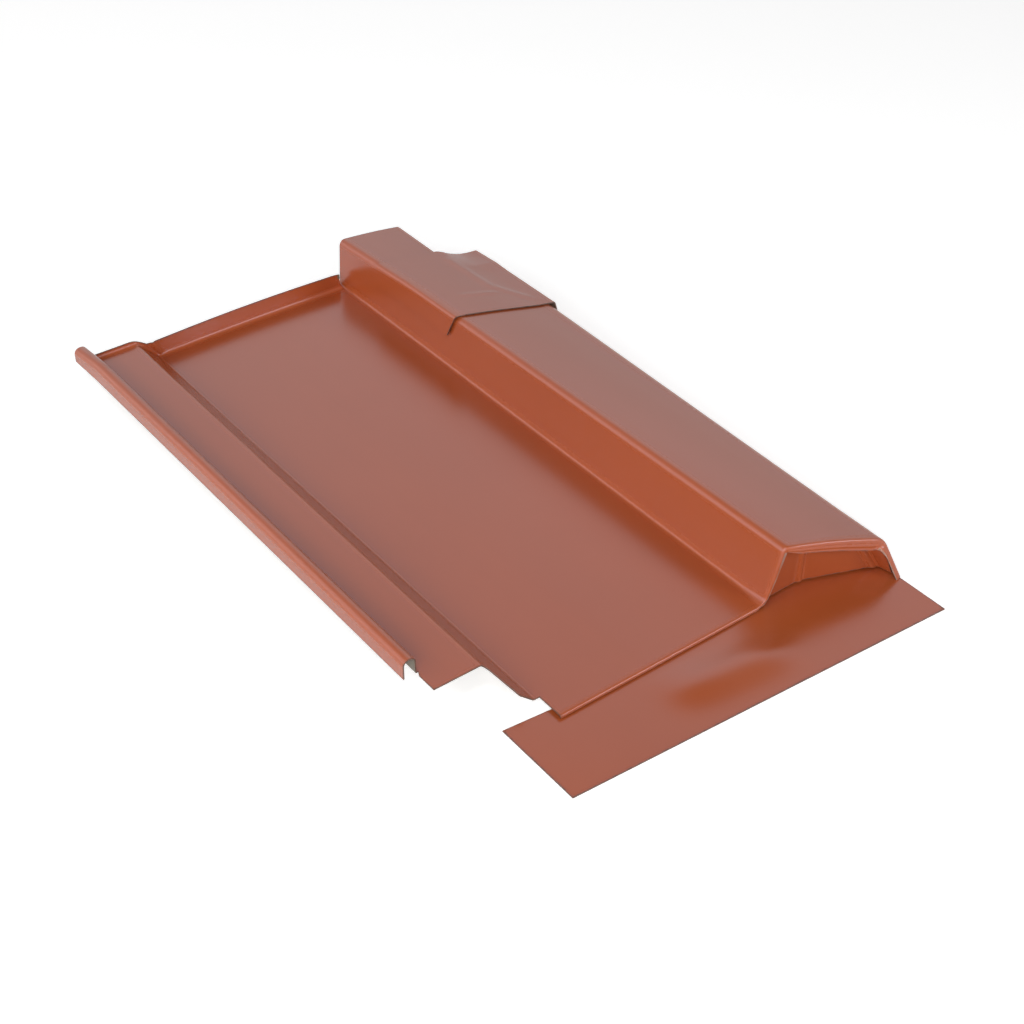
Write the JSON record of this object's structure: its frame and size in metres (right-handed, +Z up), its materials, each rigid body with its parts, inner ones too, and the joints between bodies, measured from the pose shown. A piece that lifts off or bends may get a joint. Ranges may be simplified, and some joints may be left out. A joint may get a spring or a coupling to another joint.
{
  "type": "metal roof tile",
  "caption": "Flat sheet-metal roof tile with a rolled left edge, a raised box along the right edge, a rear upstand and a front apron; takes the place of a roofing tile.",
  "frame": {"origin": "middle of the bounding box in plan, at the underside of the front apron, which is the lowest surface", "axes": "+X across the roof towards the raised box, +Y up the roof slope towards the rear upstand, +Z up out of the roof"},
  "size_m": [0.3074, 0.5188, 0.0421],
  "materials": {
    "coated_steel_tray": "semi-gloss red-brown coil coating",
    "coated_steel_patch": "semi-gloss red-brown coil coating",
    "coated_steel_closure": "semi-gloss red-brown coil coating",
    "coated_steel_apron": "semi-gloss red-brown coil coating"
  },
  "bodies": {
    "root": {"tray_sheet": "coated_steel_tray", "cover_patch": "coated_steel_patch", "closing_plate": "coated_steel_closure", "front_apron": "coated_steel_apron"}
  },
  "joints": []
}
